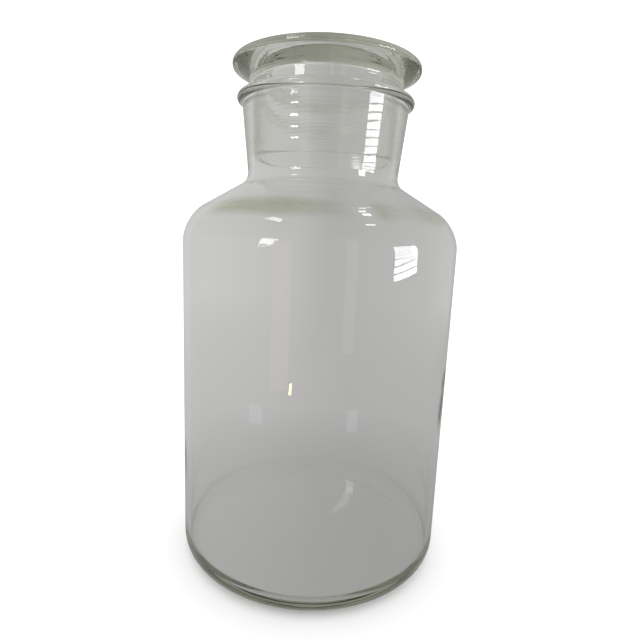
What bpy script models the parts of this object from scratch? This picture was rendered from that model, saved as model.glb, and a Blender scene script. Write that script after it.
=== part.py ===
"""A large wide-mouth glass storage jar with a ground-in, disc-headed glass stopper.

Two real pieces, both bodies of revolution about +Z: the jar, with its foot, cylindrical wall,
round shoulder, tapered neck and beaded lip, and the stopper, a hollow tapered plug under a
flared disc head. The jar stands on Z = 0 and the stopper lifts straight up out of the mouth.
Metres, +Z up.
"""

import math

import bmesh
import bpy

# Facets round the axis, the same on both pieces, so that the plug keeps an even gap in the bore
FACETS = 48
FACET_ANGLE = math.radians(20)    # steepest turn that one chord of a rounded corner takes
DOME_CHORDS = 3                   # from the edge of a shallow dome to its middle
SHARP_ANGLE = math.radians(40)    # edges that turn further than this are shaded as edges

# Ground joint, shared by the bore and the plug
MOUTH_RADIUS = 0.060              # bore at the rim
BORE_TAPER = 0.05                 # radius lost per depth, a 1:10 cone on the diameter
SEAT_GAP = 0.0003                 # all round, between the ground faces

# Jar: body, foot and floor
BODY_RADIUS = 0.113
BODY_HEIGHT = 0.267               # where the straight wall ends and the shoulder starts to round
BODY_WALL = 0.0045
HEEL_RADIUS = 0.016               # rounding between the wall and the foot
FOOT_WIDTH = 0.015                # flat ring that the jar stands on
PUSH_UP = 0.003                   # rise of the hollow underside, and of the floor, at the centre
FLOOR_THICKNESS = 0.009
FLOOR_FILLET = 0.0115             # rounding inside, between the floor and the wall

# Jar: shoulder, neck and lip
SHOULDER_RADIUS = 0.034
SHOULDER_TURN = math.radians(59)  # how far the wall has turned inwards where the slope is straight
NECK_LENGTH = 0.0656              # from the foot of the shoulder's slope to the rim
NECK_FLARE = 0.1024               # outside radius gained per height, going up
NECK_FILLET = 0.0103              # outside, where the slope turns up into the neck
RIM_WALL = 0.0078                 # glass between the bore and the neck's outside at the rim
LIP_OVERHANG = 0.0040             # how far the bead stands out from the neck
LIP_HEIGHT = 0.0064
MOUTH_EDGE = 0.0010               # rounding of the bore's upper edge

# Stopper, with heights taken from the jar's rim
PLUG_LENGTH = 0.048               # below the rim
PLUG_WALL = 0.005                 # at the plug's open lower end
PLUG_EDGE = 0.0015                # rounding of that end
HOLLOW_DRAFT = 0.036              # radius that the hollow loses per height, going up
HOLLOW_FILLET = 0.008
SHANK_HEIGHT = 0.0110             # above the rim, where the head starts to flare out
SHANK_FILLET = 0.004
DISC_OVERHANG = 0.0150            # how far the head stands out past the mouth
DISC_FLARE = 0.0083               # rise of the head's underside, from the shank to the edge
DISC_EDGE = 0.0050                # thickness of the head at its edge
DISC_LOWER_EDGE = 0.0027          # rounding of the edge's lower side; the upper takes half the edge
DISC_DOME = 0.003                 # rise of the head's top at its centre
CROWN_THICKNESS = 0.0107          # glass over the hollow


def meet(point, direction, other_point, other_direction):
    """Return where two straight lines in the (radius, height) plane cross."""
    across = direction[0] * other_direction[1] - direction[1] * other_direction[0]
    gap = (other_point[0] - point[0], other_point[1] - point[1])
    travel = (gap[0] * other_direction[1] - gap[1] * other_direction[0]) / across
    return point[0] + travel * direction[0], point[1] + travel * direction[1]


def rounded(corners):
    """Round an outline's corners, given as (radius, height, fillet), with arcs of short chords."""
    outline = []
    for index, (radius, height, fillet) in enumerate(corners):
        if fillet == 0:
            outline.append((radius, height))
            continue
        before = corners[index - 1]
        after = corners[index + 1]
        back = math.atan2(before[1] - height, before[0] - radius)
        ahead = math.atan2(after[1] - height, after[0] - radius)
        between = (ahead - back) % math.tau
        if between > math.pi:
            between -= math.tau
        middle = back + between / 2
        reach = fillet / math.sin(abs(between) / 2)
        centre = (radius + reach * math.cos(middle), height + reach * math.sin(middle))
        sweep = math.copysign(math.pi, between) - between
        start = back - math.copysign(math.pi / 2, between)
        steps = max(2, math.ceil(abs(sweep) / FACET_ANGLE))
        for step in range(steps + 1):
            angle = start - sweep * step / steps
            outline.append((centre[0] + fillet * math.cos(angle), centre[1] + fillet * math.sin(angle)))
    return outline


def dome(edge_radius, edge_height, rise):
    """Return the points of a shallow dome, from just inside its edge to its crown on the axis."""
    points = []
    for step in range(1, DOME_CHORDS + 1):
        inward = step / DOME_CHORDS
        points.append((edge_radius * (1 - inward), edge_height + rise * (1 - (1 - inward) ** 2)))
    return points


def turned(name, outline, height, material):
    """Spin an outline, both ends of which lie on the axis, into one closed solid."""
    shape = bmesh.new()
    points = [shape.verts.new((radius, 0, level)) for radius, level in outline]
    edges = [shape.edges.new(pair) for pair in zip(points, points[1:])]
    bmesh.ops.spin(shape, geom=points + edges, axis=(0, 0, 1), cent=(0, 0, 0),
                   steps=FACETS, angle=math.tau, use_merge=True)
    bmesh.ops.remove_doubles(shape, verts=shape.verts, dist=0.00001)
    bmesh.ops.recalc_face_normals(shape, faces=shape.faces)
    mesh = bpy.data.meshes.new(name)
    shape.to_mesh(mesh)
    shape.free()
    mesh.shade_smooth()
    mesh.set_sharp_from_angle(angle=SHARP_ANGLE)
    mesh.materials.append(material)
    piece = bpy.data.objects.new(name, mesh)
    piece.location.z = height
    bpy.context.scene.collection.objects.link(piece)
    return piece


def glass(name, colour):
    """Clear soda-lime glass with its faint grey-green cast."""
    material = bpy.data.materials.new(name)
    material.use_nodes = True
    shader = material.node_tree.nodes["Principled BSDF"]
    shader.inputs["Base Color"].default_value = colour
    shader.inputs["Roughness"].default_value = 0.02
    shader.inputs["Metallic"].default_value = 0.0
    shader.inputs["Transmission Weight"].default_value = 1.0
    shader.inputs["IOR"].default_value = 1.52
    return material


def shoulder_slope():
    """Return the direction of the shoulder's straight slope, going up and inwards."""
    return -math.sin(SHOULDER_TURN), math.cos(SHOULDER_TURN)


def shoulder_corner():
    """Return where the outer wall and the shoulder's slope would cross without their rounding."""
    return BODY_RADIUS, BODY_HEIGHT + SHOULDER_RADIUS * math.tan(SHOULDER_TURN / 2)


def neck_root():
    """Return where the shoulder's slope meets the outside of the neck."""
    radius = MOUTH_RADIUS + RIM_WALL - NECK_FLARE * NECK_LENGTH
    corner = shoulder_corner()
    slope = shoulder_slope()
    travel = (radius - corner[0]) / slope[0]
    return radius, corner[1] + travel * slope[1]


def rim_height():
    """Return the height of the jar's rim above the surface that it stands on."""
    return neck_root()[1] + NECK_LENGTH


def jar_outline():
    """Outline from the middle of the floor up the inside, over the lip and down to the foot."""
    rim = rim_height()
    inner_radius = BODY_RADIUS - BODY_WALL
    floor_radius = inner_radius - FLOOR_FILLET
    slope = shoulder_slope()
    corner = shoulder_corner()
    inner_slope_point = (corner[0] - BODY_WALL * math.cos(SHOULDER_TURN),
                         corner[1] - BODY_WALL * math.sin(SHOULDER_TURN))
    wall_top = meet((inner_radius, 0), (0, 1), inner_slope_point, slope)
    bore_foot = meet((MOUTH_RADIUS, rim), (BORE_TAPER, 1), inner_slope_point, slope)
    neck_top = MOUTH_RADIUS + RIM_WALL - NECK_FLARE * LIP_HEIGHT
    lip_radius = neck_top + LIP_OVERHANG
    foot_outer = BODY_RADIUS - HEEL_RADIUS
    foot_inner = foot_outer - FOOT_WIDTH
    corners = [
        (floor_radius, FLOOR_THICKNESS, 0),
        (inner_radius, FLOOR_THICKNESS, FLOOR_FILLET),
        (*wall_top, SHOULDER_RADIUS - BODY_WALL),
        (*bore_foot, NECK_FILLET + BODY_WALL),
        (MOUTH_RADIUS, rim, MOUTH_EDGE),
        (lip_radius, rim, LIP_HEIGHT / 2),
        (lip_radius, rim - LIP_HEIGHT, LIP_HEIGHT / 2),
        (neck_top, rim - LIP_HEIGHT, 0),
        (*neck_root(), NECK_FILLET),
        (*corner, SHOULDER_RADIUS),
        (BODY_RADIUS, 0, HEEL_RADIUS),
        (foot_inner, 0, 0),
    ]
    floor = dome(floor_radius, FLOOR_THICKNESS, PUSH_UP)
    return floor[::-1] + rounded(corners) + dome(foot_inner, 0, PUSH_UP)


def make_jar():
    """The jar: one wall of glass with its foot on the ground and its mouth open."""
    return turned("jar", jar_outline(), 0, glass("jar_glass", (0.80, 0.82, 0.79, 1)))


def plug_radius(height):
    """Return the plug's outer radius at a height above the rim."""
    return MOUTH_RADIUS - SEAT_GAP + BORE_TAPER * height


def make_stopper():
    """The stopper: a hollow tapered plug, open below, under a flared disc with a round edge."""
    disc_radius = MOUTH_RADIUS + DISC_OVERHANG
    underside = SHANK_HEIGHT + DISC_FLARE
    top_edge = underside + DISC_EDGE
    hollow_radius = plug_radius(-PLUG_LENGTH) - PLUG_WALL
    hollow_top = top_edge + DISC_DOME - CROWN_THICKNESS
    ceiling_radius = hollow_radius - HOLLOW_DRAFT * (PLUG_LENGTH + hollow_top)
    top_radius = disc_radius - DISC_EDGE / 2
    corners = [
        (top_radius, top_edge, 0),
        (disc_radius, top_edge, DISC_EDGE / 2),
        (disc_radius, underside, DISC_LOWER_EDGE),
        (plug_radius(SHANK_HEIGHT), SHANK_HEIGHT, SHANK_FILLET),
        (plug_radius(-PLUG_LENGTH), -PLUG_LENGTH, PLUG_EDGE),
        (hollow_radius, -PLUG_LENGTH, PLUG_EDGE),
        (ceiling_radius, hollow_top, HOLLOW_FILLET),
        (0, hollow_top, 0),
    ]
    crown = dome(top_radius, top_edge, DISC_DOME)
    outline = crown[::-1] + rounded(corners)
    return turned("stopper", outline, rim_height(), glass("stopper_glass", (0.78, 0.81, 0.76, 1)))


def main():
    """Clear the scene and model both pieces."""
    for leftover in list(bpy.data.objects):
        bpy.data.objects.remove(leftover)
    make_jar()
    make_stopper()


main()
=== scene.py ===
import math

import bpy
from mathutils import Euler, Matrix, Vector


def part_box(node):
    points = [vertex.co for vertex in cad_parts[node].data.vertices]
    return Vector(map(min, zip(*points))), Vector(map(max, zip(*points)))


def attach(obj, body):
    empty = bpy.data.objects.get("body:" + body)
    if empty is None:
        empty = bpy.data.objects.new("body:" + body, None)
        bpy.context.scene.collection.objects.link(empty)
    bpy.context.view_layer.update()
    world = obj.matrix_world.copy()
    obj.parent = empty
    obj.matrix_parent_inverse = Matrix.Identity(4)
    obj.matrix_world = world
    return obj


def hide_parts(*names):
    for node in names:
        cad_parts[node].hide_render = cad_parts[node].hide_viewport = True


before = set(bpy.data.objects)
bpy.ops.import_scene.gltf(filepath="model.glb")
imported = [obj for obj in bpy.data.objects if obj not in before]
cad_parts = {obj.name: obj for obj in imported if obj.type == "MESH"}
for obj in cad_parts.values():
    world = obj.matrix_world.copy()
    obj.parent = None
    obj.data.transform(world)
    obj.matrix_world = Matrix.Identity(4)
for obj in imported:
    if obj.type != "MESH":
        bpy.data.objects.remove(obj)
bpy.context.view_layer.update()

bpy.ops.object.select_all(action="DESELECT")


# ---------------------------------------------------------------- the jar
# One piece of blown soda-lime glass: a foot ring under a rounded heel, a straight wall, a round
# shoulder, a neck that flares to a fire-polished lip bead, and a conical bore ground inside it.
# It is drawn as half its section, the corners are rounded, and the section is spun round +Z.

jar_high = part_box("jar")[1]
rim = jar_high.z
body_radius = jar_high.x
mouth_radius = 0.060
bore_taper = 0.05
body_wall = 0.0045
shoulder_radius = 0.034
shoulder_turn = math.radians(59)
neck_length = 0.0656
neck_flare = 0.1024
neck_fillet = 0.0103
rim_wall = 0.0078
lip_overhang = 0.0040
lip_height = 0.0064
heel_radius = 0.016
foot_width = 0.015
push_up = 0.003
floor_thickness = 0.009
floor_fillet = 0.0115
floor_curve = 0.9                # radius of the bend in the domed floor
mouth_edge = 0.0010
lip_crease = 0.0006              # softening where the bead meets the neck
foot_crease = 0.010              # softening at the inside of the foot ring
dome_out = 0.55                  # share of its radius at which a dome bends, on both pieces
dome_up = 0.75                   # share of its rise that a dome has there
ground_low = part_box("stopper")[0].z
ground_high = rim - 0.002
facets = 192                     # round the axis, the same on both pieces
jar_run = 0.006                  # longest straight run of the section between two points
wave_height = 0.0003             # of the wall's waves, from hollow to crest
wave_size = 0.055
wave_low = 0.030
wave_margin = 0.020              # from the waves' upper end to the shoulder's corner


def draw_section(name, corners):
    """Draw half a section in the XZ plane, corner by corner, and round each corner that asks for it."""
    bpy.ops.mesh.primitive_plane_add(size=0.001, location=(0, 0, 0))
    piece = bpy.context.object
    piece.name = name
    piece.data.name = name
    bpy.ops.object.mode_set(mode="EDIT")
    bpy.ops.mesh.select_mode(type="VERT")
    bpy.ops.mesh.merge(type="CENTER")
    bpy.ops.transform.translate(value=(corners[0][0], 0, corners[0][1]))
    for start, end in zip(corners, corners[1:]):
        step = (end[0] - start[0], 0, end[1] - start[1])
        bpy.ops.mesh.extrude_region_move(TRANSFORM_OT_translate={"value": step})
    for index in range(1, len(corners) - 1):
        radius, height, fillet, segments = corners[index]
        if fillet == 0:
            continue
        before, after = corners[index - 1], corners[index + 1]
        back = math.atan2(before[1] - height, before[0] - radius)
        ahead = math.atan2(after[1] - height, after[0] - radius)
        opening = abs((ahead - back + math.pi) % math.tau - math.pi)
        pick_points(piece, lambda point: math.hypot(point.x - radius, point.z - height) < 0.00002)
        bpy.ops.mesh.bevel(offset_type="OFFSET", offset=fillet / math.tan(opening / 2),
                           segments=segments, profile=0.5, affect="VERTICES", clamp_overlap=False)
    return piece


def pick_points(piece, wanted):
    """Leave the piece in edit mode with only the wanted points selected."""
    bpy.ops.object.mode_set(mode="EDIT")
    bpy.ops.mesh.select_all(action="DESELECT")
    bpy.ops.object.mode_set(mode="OBJECT")
    for point in piece.data.vertices:
        point.select = wanted(point.co)
    bpy.ops.object.mode_set(mode="EDIT")


def split_runs(piece, longest):
    """Halve every long straight run of the section until none is longer than this."""
    while True:
        pick_points(piece, lambda point: False)
        bpy.ops.object.mode_set(mode="OBJECT")
        points = piece.data.vertices
        runs = [edge for edge in piece.data.edges
                if (points[edge.vertices[0]].co - points[edge.vertices[1]].co).length > longest]
        if not runs:
            break
        for edge in runs:
            edge.select = True
        bpy.ops.object.mode_set(mode="EDIT")
        bpy.ops.mesh.select_mode(type="EDGE")
        bpy.ops.mesh.subdivide(number_cuts=1)
        bpy.ops.mesh.select_mode(type="VERT")


def spin_section(piece, steps):
    """Spin the section right round +Z, close its poles and turn its faces outwards."""
    bpy.ops.object.mode_set(mode="EDIT")
    bpy.ops.mesh.select_all(action="SELECT")
    bpy.ops.mesh.spin(steps=steps, angle=math.tau, center=(0, 0, 0), axis=(0, 0, 1))
    bpy.ops.mesh.select_all(action="SELECT")
    bpy.ops.mesh.remove_doubles(threshold=0.00001)
    bpy.ops.mesh.normals_make_consistent(inside=False)
    bpy.ops.object.mode_set(mode="OBJECT")
    bpy.ops.object.shade_smooth()


def cross(point, slope, other_point, other_slope):
    """Return where two straight lines of the section cross."""
    scale = slope[0] * other_slope[1] - slope[1] * other_slope[0]
    gap = (other_point[0] - point[0], other_point[1] - point[1])
    travel = (gap[0] * other_slope[1] - gap[1] * other_slope[0]) / scale
    return point[0] + travel * slope[0], point[1] + travel * slope[1]


slope = (-math.sin(shoulder_turn), math.cos(shoulder_turn))
root_radius = mouth_radius + rim_wall - neck_flare * neck_length
neck_root = (root_radius, rim - neck_length)
shoulder_corner = cross((body_radius, 0), (0, 1), neck_root, slope)
inner_radius = body_radius - body_wall
inner_slope_point = (neck_root[0] - body_wall * slope[1], neck_root[1] + body_wall * slope[0])
inner_corner = cross((inner_radius, 0), (0, 1), inner_slope_point, slope)
bore_foot = cross((mouth_radius, rim), (bore_taper, 1), inner_slope_point, slope)
neck_top = mouth_radius + rim_wall - neck_flare * lip_height
lip_radius = neck_top + lip_overhang
foot_outer = body_radius - heel_radius
foot_inner = foot_outer - foot_width

jar = draw_section("clear_jar", [
    (0, floor_thickness + push_up, 0, 0),
    (inner_radius * dome_out, floor_thickness + push_up * dome_up, floor_curve, 20),
    (inner_radius, floor_thickness, floor_fillet, 10),
    (*inner_corner, shoulder_radius - body_wall, 20),
    (*bore_foot, neck_fillet + body_wall, 14),
    (mouth_radius, rim, mouth_edge, 6),
    (lip_radius, rim, lip_height / 2, 10),
    (lip_radius, rim - lip_height, lip_height / 2, 10),
    (neck_top, rim - lip_height, lip_crease, 4),
    (*neck_root, neck_fillet, 12),
    (*shoulder_corner, shoulder_radius, 22),
    (body_radius, 0, heel_radius, 14),
    (foot_inner, 0, foot_crease, 6),
    (0, push_up, 0, 0),
])
split_runs(jar, jar_run)
spin_section(jar, facets)


def uneven(piece, low, high, thickness, size, wanted):
    """Let the wall between two heights wave gently, as glass does that was blown in a mould."""
    forming = bpy.data.textures.new("forming_waves", "CLOUDS")
    forming.noise_scale = size
    wall = piece.vertex_groups.new(name="wall")
    for point in piece.data.vertices:
        if low < point.co.z < high and wanted(point.co):
            along = (point.co.z - low) / (high - low)
            wall.add([point.index], math.sin(math.pi * along) ** 2, "REPLACE")
    waves = piece.modifiers.new("waves", "DISPLACE")
    waves.texture = forming
    waves.texture_coords = "LOCAL"
    waves.vertex_group = "wall"
    waves.strength = thickness
    waves.mid_level = 0.5
    bpy.ops.object.select_all(action="DESELECT")
    piece.select_set(True)
    bpy.context.view_layer.objects.active = piece
    bpy.ops.object.modifier_apply(modifier="waves")
    piece.vertex_groups.clear()


wave_high = shoulder_corner[1] - wave_margin
uneven(jar, wave_low, wave_high, wave_height, wave_size,
       lambda point: point.xy.length > inner_radius - 0.001)


def work(material, operation, *inputs, kind="ShaderNodeMath"):
    """Add a working node, with its inputs set or linked, and return its result."""
    node = material.node_tree.nodes.new(kind)
    node.operation = operation
    for socket, value in zip(node.inputs, inputs):
        if isinstance(value, bpy.types.NodeSocket):
            material.node_tree.links.new(value, socket)
        else:
            socket.default_value = value
    return next(socket for socket in node.outputs if socket.enabled)


glass_index = 1.52
glass_green = (0.80, 0.815, 0.75, 1)
green_density = 18.0
ground_frost = 0.12
ground_reach = 0.0012            # how far off the joint's cone a face still counts as ground


def clear_glass(name, ripple, ripple_scale):
    """Clear soda-lime glass with a faint grey-green body, frosted where it lies on the ground cone."""
    material = bpy.data.materials.new(name)
    material.use_nodes = True
    nodes, links = material.node_tree.nodes, material.node_tree.links
    shader = nodes["Principled BSDF"]
    shader.inputs["Base Color"].default_value = (1, 1, 1, 1)
    shader.inputs["IOR"].default_value = glass_index
    shader.inputs["Transmission Weight"].default_value = 1.0
    body = nodes.new("ShaderNodeVolumeAbsorption")
    body.inputs["Color"].default_value = glass_green
    body.inputs["Density"].default_value = green_density
    links.new(body.outputs["Volume"], nodes["Material Output"].inputs["Volume"])

    place = nodes.new("ShaderNodeTexCoord").outputs["Object"]
    apart = nodes.new("ShaderNodeSeparateXYZ")
    links.new(place, apart.inputs["Vector"])
    height = apart.outputs["Z"]
    flat = work(material, "MULTIPLY", place, (1, 1, 0), kind="ShaderNodeVectorMath")
    radius = work(material, "LENGTH", flat, kind="ShaderNodeVectorMath")
    cone_foot = mouth_radius - bore_taper * rim
    cone = work(material, "MULTIPLY_ADD", height, bore_taper, cone_foot)
    away = work(material, "ABSOLUTE", work(material, "SUBTRACT", radius, cone))
    on_cone = work(material, "LESS_THAN", away, ground_reach)
    above_end = work(material, "GREATER_THAN", height, ground_low)
    below_rim = work(material, "LESS_THAN", height, ground_high)
    ground = work(material, "MULTIPLY", work(material, "MULTIPLY", above_end, below_rim), on_cone)
    links.new(work(material, "MULTIPLY", ground, ground_frost), shader.inputs["Roughness"])

    stretch = work(material, "MULTIPLY", place, ripple_scale, kind="ShaderNodeVectorMath")
    waves = nodes.new("ShaderNodeTexNoise")
    waves.inputs["Scale"].default_value = 1.0
    waves.inputs["Detail"].default_value = 2.0
    bump = nodes.new("ShaderNodeBump")
    bump.inputs["Strength"].default_value = ripple
    bump.inputs["Distance"].default_value = 0.001
    links.new(stretch, waves.inputs["Vector"])
    links.new(waves.outputs["Fac"], bump.inputs["Height"])
    links.new(bump.outputs["Normal"], shader.inputs["Normal"])
    return material


smear_height = 0.2935            # middle of the shoulder's green, painted-shade stretches
smear_half = 0.0085              # from there to where they end, above and below
smear_core = 0.0015
smear_waver = 0.008
# Painted shade mixed with the green of thick glass: the dark olive of the shoulder's smears.
green_and_shade = (0.63, 0.66, 0.50, 1)
green_and_shade_stretches = ((-56, 0), (-46, 0.75), (-34, 1), (-12, 0.8), (2, 0.45), (14, 0), (19, 0), (24, 0.7),
                   (30, 0.35), (40, 0.25), (50, 0.65), (60, 0.55), (70, 0))


def paint_shoulder_green_and_shade(material):
    """Tint the shoulder darker green in stretches round it, given in degrees: partly the green of glass
    that ran thick there, partly painted shade for the dark olive smears that thick glass shows by
    refraction; the wall itself is not made thicker.
    """
    nodes, links = material.node_tree.nodes, material.node_tree.links
    place = nodes.new("ShaderNodeTexCoord").outputs["Object"]
    apart = nodes.new("ShaderNodeSeparateXYZ")
    links.new(place, apart.inputs["Vector"])
    forward = work(material, "MULTIPLY", apart.outputs["Y"], -1.0)
    turn = work(material, "ARCTAN2", apart.outputs["X"], forward)
    share = work(material, "MULTIPLY_ADD", turn, 1 / math.tau, 0.5)
    stretches = nodes.new("ShaderNodeValToRGB")
    stretches.color_ramp.elements[0].color = (0, 0, 0, 1)
    stretches.color_ramp.elements[1].color = (0, 0, 0, 1)
    for degrees, amount in green_and_shade_stretches:
        stop = stretches.color_ramp.elements.new(0.5 + degrees / 360)
        stop.color = (amount, amount, amount, 1)
    links.new(share, stretches.inputs["Fac"])
    waver = nodes.new("ShaderNodeTexNoise")
    waver.inputs["Scale"].default_value = 22.0
    links.new(place, waver.inputs["Vector"])
    level = work(material, "MULTIPLY_ADD", waver.outputs["Fac"], smear_waver, apart.outputs["Z"])
    off_middle = work(material, "SUBTRACT", level, smear_height + smear_waver / 2)
    across = nodes.new("ShaderNodeMapRange")
    across.interpolation_type = "SMOOTHSTEP"
    across.inputs["From Min"].default_value = smear_half
    across.inputs["From Max"].default_value = smear_core
    links.new(work(material, "ABSOLUTE", off_middle), across.inputs["Value"])
    amount = work(material, "MULTIPLY", stretches.outputs["Color"], across.outputs["Result"])
    # The darker green mixed in here is partly the glass's own green and partly painted shade.
    tint = nodes.new("ShaderNodeMix")
    tint.data_type = "RGBA"
    clear_end, green_end = [socket for socket in tint.inputs if socket.type == "RGBA"]
    clear_end.default_value = (1, 1, 1, 1)
    green_end.default_value = green_and_shade
    links.new(amount, tint.inputs["Factor"])
    tinted = next(socket for socket in tint.outputs if socket.type == "RGBA")
    links.new(tinted, nodes["Principled BSDF"].inputs["Base Color"])


jar_glass = clear_glass("jar_glass", 0.004, (5, 5, 300))
# The shoulder gets painted shade, in green stretches, in its glass colour.
paint_shoulder_green_and_shade(jar_glass)
jar.data.materials.append(jar_glass)
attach(jar, "jar")
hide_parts("jar")


# ---------------------------------------------------------------- the stopper
# One piece of pressed glass: a hollow plug, open below, ground outside to the bore's cone, a short
# shank, and a disc head that flares out over the lip. The mould's halves left a fine upright seam.

stopper_low, stopper_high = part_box("stopper")
seat_gap = 0.0003
plug_end = stopper_low.z
plug_wall = 0.005
plug_edge = 0.0015
hollow_draft = 0.036
disc_radius = stopper_high.x
disc_edge = 0.0050
disc_lower_edge = 0.0027
disc_dome = 0.003
crown_thickness = 0.0107
shank_height = 0.0110
shank_fillet = 0.004
hollow_fillet = 0.008
disc_curve = 0.5                 # radius of the bend in the domed head
stopper_run = 0.003
seam_place = 0.0019              # beside the middle of the front
seam_half = 0.0008
seam_rise = 0.00045


def plug_radius(height):
    """Outer radius of the ground cone at a height above the floor."""
    return mouth_radius - seat_gap - bore_taper * (rim - height)


disc_top = stopper_high.z - disc_dome
disc_underside = disc_top - disc_edge
hollow_top = stopper_high.z - crown_thickness
hollow_radius = plug_radius(plug_end) - plug_wall
ceiling_radius = hollow_radius - hollow_draft * (hollow_top - plug_end)
shank_top = rim + shank_height

stopper = draw_section("disc_stopper", [
    (0, stopper_high.z, 0, 0),
    (disc_radius * dome_out, disc_top + disc_dome * dome_up, disc_curve, 16),
    (disc_radius, disc_top, disc_edge / 2, 14),
    (disc_radius, disc_underside, disc_lower_edge, 10),
    (plug_radius(shank_top), shank_top, shank_fillet, 8),
    (plug_radius(plug_end), plug_end, plug_edge, 8),
    (hollow_radius, plug_end, plug_edge, 8),
    (ceiling_radius, hollow_top, hollow_fillet, 10),
    (0, hollow_top, 0, 0),
])
split_runs(stopper, stopper_run)
spin_section(stopper, facets)

bpy.ops.object.mode_set(mode="EDIT")
for cut in (seam_place - seam_half, seam_place, seam_place + seam_half):
    pick_points(stopper, lambda point: point.y < 0 and abs(point.x) < 0.006)
    bpy.ops.mesh.bisect(plane_co=(cut, 0, 0), plane_no=(1, 0, 0))
pick_points(stopper, lambda point: abs(point.x - seam_place) < 0.00011 and point.y < -0.0555
            and point.z > rim + 0.001)
bpy.ops.transform.translate(value=(0, -seam_rise, 0))
bpy.ops.mesh.select_all(action="SELECT")
bpy.ops.mesh.normals_make_consistent(inside=False)
bpy.ops.object.mode_set(mode="OBJECT")
bpy.ops.object.shade_smooth()
stopper.data.materials.append(clear_glass("stopper_glass", 0.09, (4, 4, 700)))
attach(stopper, "stopper")
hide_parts("stopper")


# ---------------------------------------------------------------- the table and the room
# A plain white table under a white sky, which the camera sees directly. What the glass shows is the
# grey studio round it: its table, its walls and its windows are seen only through and in the glass.

def glow(name):
    """A surface that only shines; returns the material and its light."""
    material = bpy.data.materials.new(name)
    material.use_nodes = True
    nodes, links = material.node_tree.nodes, material.node_tree.links
    nodes.clear()
    light = nodes.new("ShaderNodeEmission")
    output = nodes.new("ShaderNodeOutputMaterial")
    links.new(light.outputs["Emission"], output.inputs["Surface"])
    return material, light


def only_in_glass(thing, material):
    """Show a thing to rays that went through or off the glass, and to nothing else."""
    thing.data.materials.append(material)
    thing.visible_camera = False
    thing.visible_diffuse = False
    thing.visible_shadow = False
    thing.visible_volume_scatter = False


bpy.ops.mesh.primitive_plane_add(size=12, location=(0, 0, -0.0002))
table = bpy.context.object
table.name = "white_table"
white = bpy.data.materials.new("white_table")
white.use_nodes = True
paint = white.node_tree.nodes["Principled BSDF"]
paint.inputs["Base Color"].default_value = (0.95, 0.95, 0.95, 1)
paint.inputs["Roughness"].default_value = 0.9
paint.inputs["Specular IOR Level"].default_value = 0.1
table.data.materials.append(white)
table.visible_transmission = False
table.visible_glossy = False

room_radius = 1.6
room_height = 3.0
bpy.ops.mesh.primitive_cylinder_add(vertices=96, radius=room_radius, depth=room_height,
                                    location=(0, 0, room_height / 2 - 0.0001))
bpy.ops.object.transform_apply(location=True)
room = bpy.context.object
room.name = "grey_room"
material, light = glow("grey_room")
nodes, links = material.node_tree.nodes, material.node_tree.links
place = nodes.new("ShaderNodeTexCoord").outputs["Object"]
apart = nodes.new("ShaderNodeSeparateXYZ")
across = nodes.new("ShaderNodeMapRange")
across.inputs["From Min"].default_value = -room_radius
across.inputs["From Max"].default_value = room_radius
tones = nodes.new("ShaderNodeValToRGB")
tones.color_ramp.elements[0].color = (0.69, 0.683, 0.676, 1)
tones.color_ramp.elements[1].color = (0.69, 0.683, 0.676, 1)
for position, tone in ((0.15, 0.64), (0.30, 0.61), (0.47, 0.515), (0.52, 0.445),
                       (0.69, 0.465), (0.85, 0.57)):
    tones.color_ramp.elements.new(position).color = (tone, tone * 0.99, tone * 0.98, 1)
# Painted shadow: the room's floor shines less within 0.12 to 0.33 m of the jar's foot, as a shadow round
# the jar.
distance = nodes.new("ShaderNodeVectorMath")
distance.operation = "LENGTH"
painted_foot_shadow = nodes.new("ShaderNodeMapRange")
painted_foot_shadow.inputs["From Min"].default_value = 0.12
painted_foot_shadow.inputs["From Max"].default_value = 0.33
painted_foot_shadow.inputs["To Min"].default_value = 0.78
painted_foot_shadow.inputs["To Max"].default_value = 1.0
links.new(place, apart.inputs["Vector"])
links.new(apart.outputs["X"], across.inputs["Value"])
links.new(across.outputs["Result"], tones.inputs["Fac"])
links.new(tones.outputs["Color"], light.inputs["Color"])
links.new(place, distance.inputs[0])
links.new(distance.outputs["Value"], painted_foot_shadow.inputs["Value"])
links.new(painted_foot_shadow.outputs["Result"], light.inputs["Strength"])
only_in_glass(room, material)


def stand(name, width, low_edge, high_edge, azimuth, away=1.4, lean=0.0):
    """Stand an upright panel round the jar, turned to face it; azimuth 0 is the camera's side."""
    angle = math.radians(azimuth)
    middle = (away * math.sin(angle), -away * math.cos(angle), (low_edge + high_edge) / 2)
    bpy.ops.mesh.primitive_plane_add(size=1, location=middle,
                                     rotation=(math.pi / 2, math.radians(lean), angle))
    panel = bpy.context.object
    panel.name = name
    panel.scale = (width, high_edge - low_edge, 1)
    return panel


def panes(name, brightness, columns, rows, bar):
    """Bright window panes between grey bars."""
    material, light = glow(name)
    nodes, links = material.node_tree.nodes, material.node_tree.links
    place = nodes.new("ShaderNodeTexCoord").outputs["UV"]
    grid = nodes.new("ShaderNodeTexBrick")
    grid.offset = 0
    grid.inputs["Color1"].default_value = (1, 1, 1, 1)
    grid.inputs["Color2"].default_value = (0.8, 0.85, 0.9, 1)
    grid.inputs["Mortar"].default_value = (0.03, 0.03, 0.03, 1)
    grid.inputs["Scale"].default_value = 1.0
    grid.inputs["Brick Width"].default_value = 1 / columns
    grid.inputs["Row Height"].default_value = 1 / rows
    grid.inputs["Mortar Size"].default_value = bar
    light.inputs["Strength"].default_value = brightness
    links.new(place, grid.inputs["Vector"])
    links.new(grid.outputs["Color"], light.inputs["Color"])
    return material


def even(name, colour, brightness):
    """An evenly bright surface."""
    material, light = glow(name)
    light.inputs["Color"].default_value = colour
    light.inputs["Strength"].default_value = brightness
    return material


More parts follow.
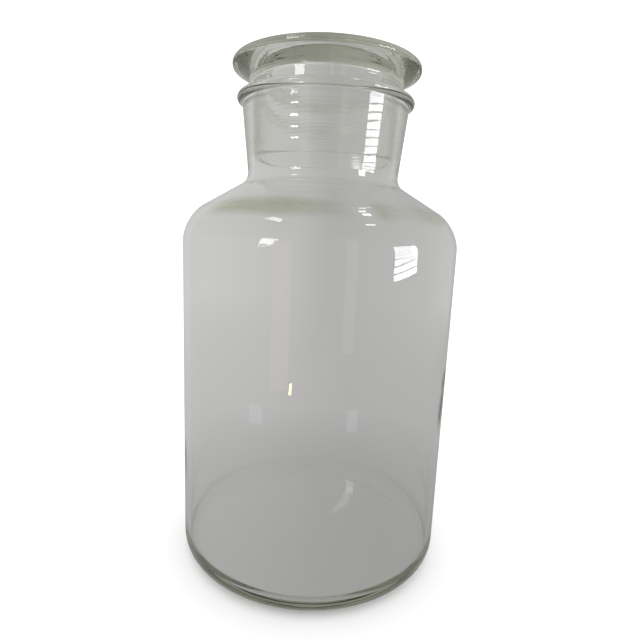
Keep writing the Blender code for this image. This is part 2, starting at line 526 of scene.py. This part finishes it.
for panel, material in (
        (stand("right_window", 0.54, 0.13, 0.60, 68, lean=-3.8), panes("right_panes", 14, 3, 18, 0.005)),
        (stand("left_slats", 0.32, 0.302, 0.442, -41, lean=2), panes("slat_gaps", 26, 1, 4, 0.112)),
        (stand("left_window", 0.34, 0.452, 0.80, -39), even("left_daylight", (1, 1, 1, 1), 10)),
        (stand("left_skylight", 0.50, 2.20, 2.70, -57), even("left_top", (1, 1, 1, 1), 8)),
        (stand("left_doorway", 0.146, 0.0, 0.45, -25.7, 0.62), even("left_warm", (1, 0.86, 0.70, 1), 1.3)),
        (stand("right_doorway", 0.09, 0.07, 0.56, 22.4, 0.62), even("right_warm", (1, 0.88, 0.74, 1), 1.2)),
        (stand("lamp", 0.022, 0.0, 0.020, -17, 0.60), even("lamp_light", (1, 0.72, 0.42, 1), 22)),
        (stand("left_sheen", 0.08, 0.0, 0.03, -41, 0.455), even("left_blue", (0.8, 0.9, 1, 1), 1.5)),
        (stand("right_sheen", 0.06, 0.0, 0.03, 27.5, 0.455), even("right_blue", (0.8, 0.9, 1, 1), 1.7))):
    panel.visible_transmission = False
    only_in_glass(panel, material)
only_in_glass(stand("back_strip", 0.040, 0.46, 0.69, 172), even("back_light", (1, 1, 1, 1), 1.2))

world = bpy.data.worlds.new("white_sky")
bpy.context.scene.world = world
world.use_nodes = True
world.node_tree.nodes["Background"].inputs["Color"].default_value = (1, 1, 1, 1)
world.node_tree.nodes["Background"].inputs["Strength"].default_value = 1.45


# ---------------------------------------------------------------- the camera
# A wide lens close to the jar, level with its shoulder and looking a little down, slightly tilted.

camera_away = 3.742 * body_radius
camera_height = 2.480 * body_radius
looking_down = math.radians(10.5)
looking_right = math.radians(0.36)
tilted = math.radians(2.43)

camera_data = bpy.data.cameras.new("camera")
camera_data.sensor_width = 36
camera_data.lens = 27.53
camera = bpy.data.objects.new("camera", camera_data)
bpy.context.scene.collection.objects.link(camera)
camera.location = (0, -camera_away, camera_height)
aim = Euler((math.radians(90) - looking_down, 0, -looking_right)).to_matrix()
tilt = Matrix.Rotation(tilted, 3, "Z")
camera.rotation_euler = (aim @ tilt).to_euler()
camera_data.clip_start = 0.01
camera_data.clip_end = 50
bpy.context.scene.camera = camera
bpy.context.scene.view_settings.view_transform = "Standard"
bpy.context.scene.cycles.max_bounces = 48
bpy.context.scene.cycles.transmission_bounces = 48
bpy.context.scene.cycles.glossy_bounces = 48
